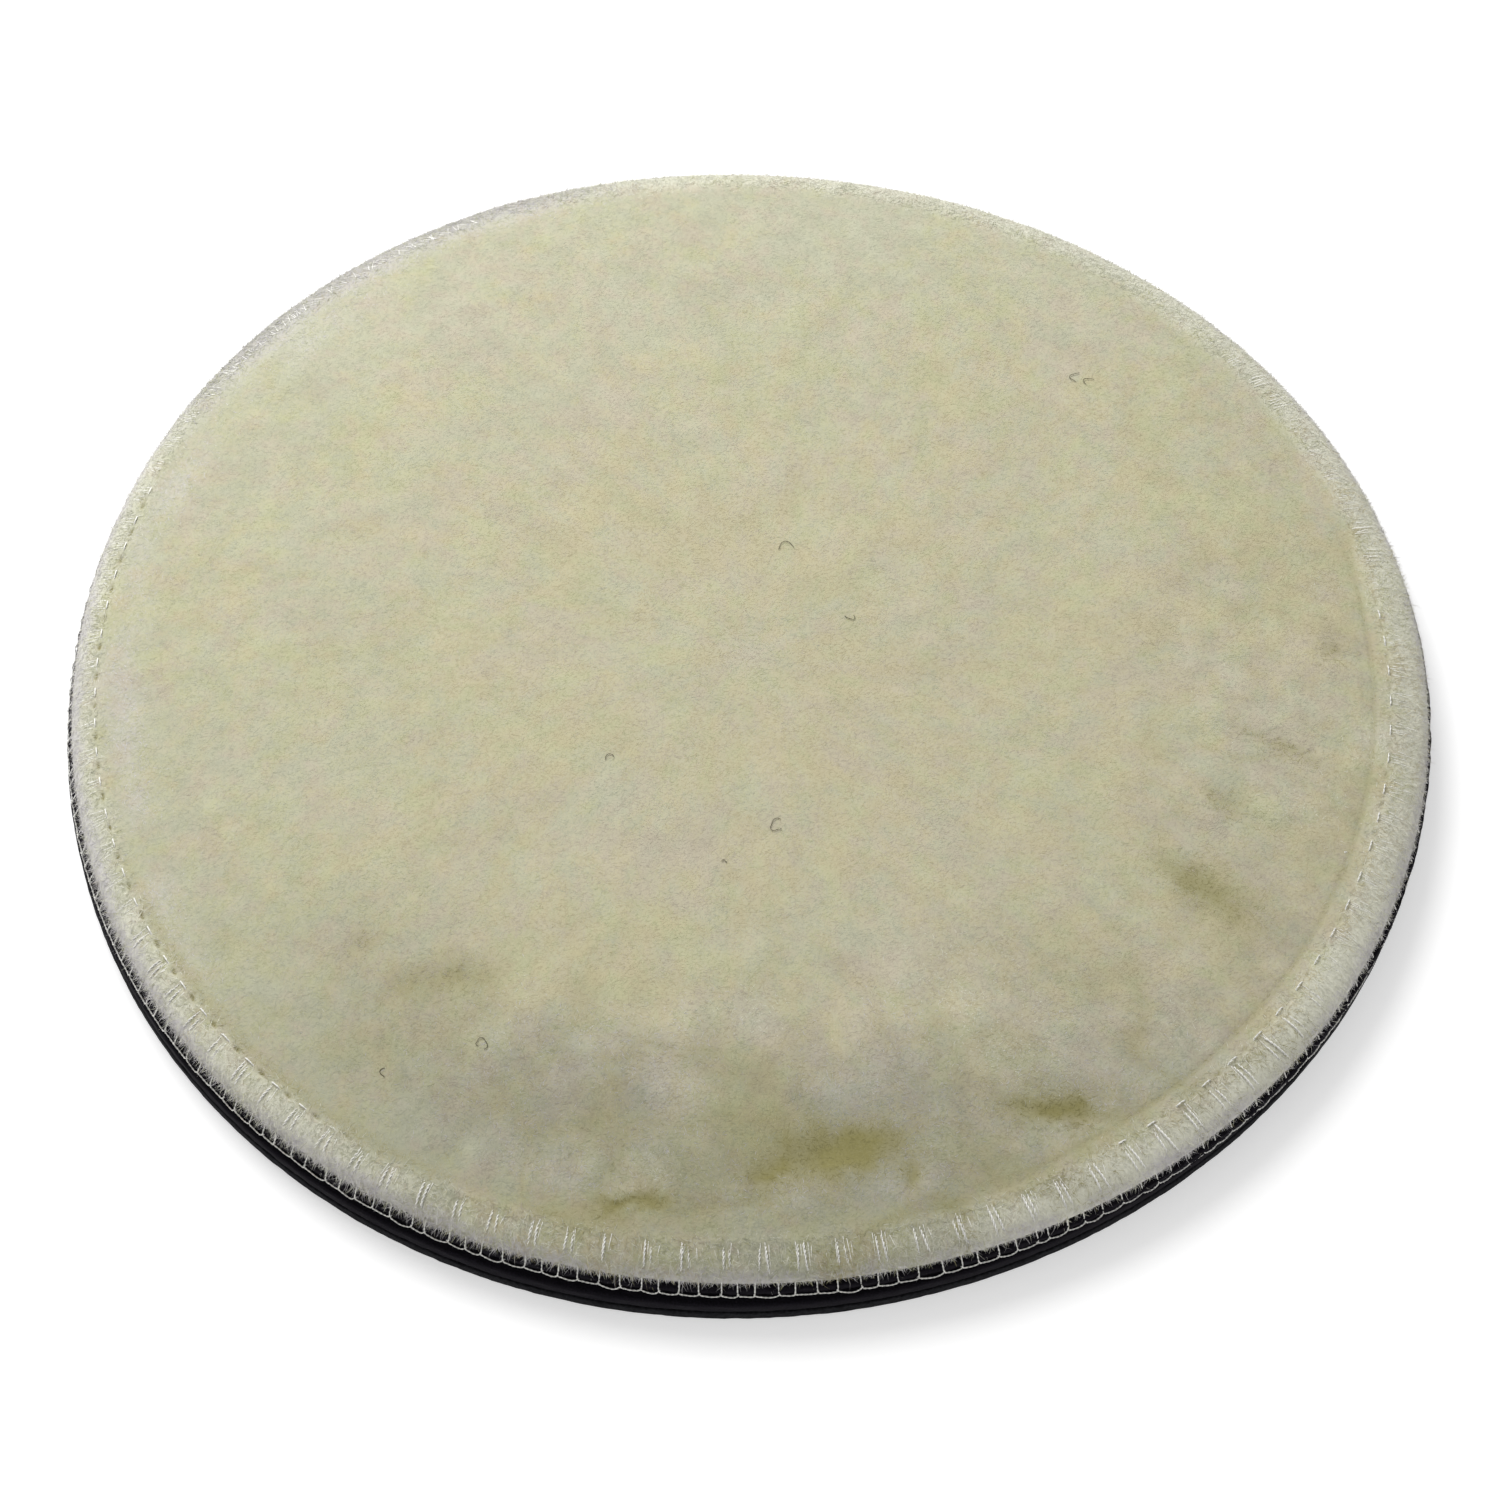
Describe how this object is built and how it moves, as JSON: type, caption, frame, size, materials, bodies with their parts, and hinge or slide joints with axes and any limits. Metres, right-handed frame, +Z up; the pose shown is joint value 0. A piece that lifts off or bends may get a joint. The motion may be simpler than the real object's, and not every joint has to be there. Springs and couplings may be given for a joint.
{
  "type": "wool polishing pad",
  "caption": "Round wool polishing pad: short sheared wool face with an overlocked edge on a thin black foam cushion with a hook-and-loop backing.",
  "frame": {"origin": "middle of the underside, on the loop nap's flat face that sticks to the machine's backing plate", "axes": "+Z runs up the pad's spin axis through the wool face; the pad is round, so +X and +Y are any two perpendicular directions in its plane"},
  "size_m": [0.15, 0.15, 0.011],
  "materials": {
    "wool": "short sheared wool pile, matte and slightly felted, cream with faint green-yellow clouds",
    "wool_cloth": "cream knitted ground cloth that the pile is rooted in",
    "felt": "black needled stiffening felt, matte",
    "glue": "clear hot-melt film, hidden between the cushion and the felt",
    "foam": "black fine-celled foam, matte cut edge",
    "loop_fabric": "black brushed nylon loop fabric with a soft nap",
    "thread": "shiny white bright-polyester sewing thread"
  },
  "bodies": {
    "root": {"loop_nap": "loop_fabric", "loop_backing_cloth": "loop_fabric", "foam_cushion": "foam", "glue_film": "glue", "stiffening_felt": "felt", "wool_backing_cloth": "wool_cloth", "wool_pile": "wool", "needle_thread": "thread", "upper_looper_thread": "thread", "lower_looper_thread": "thread"}
  },
  "joints": []
}
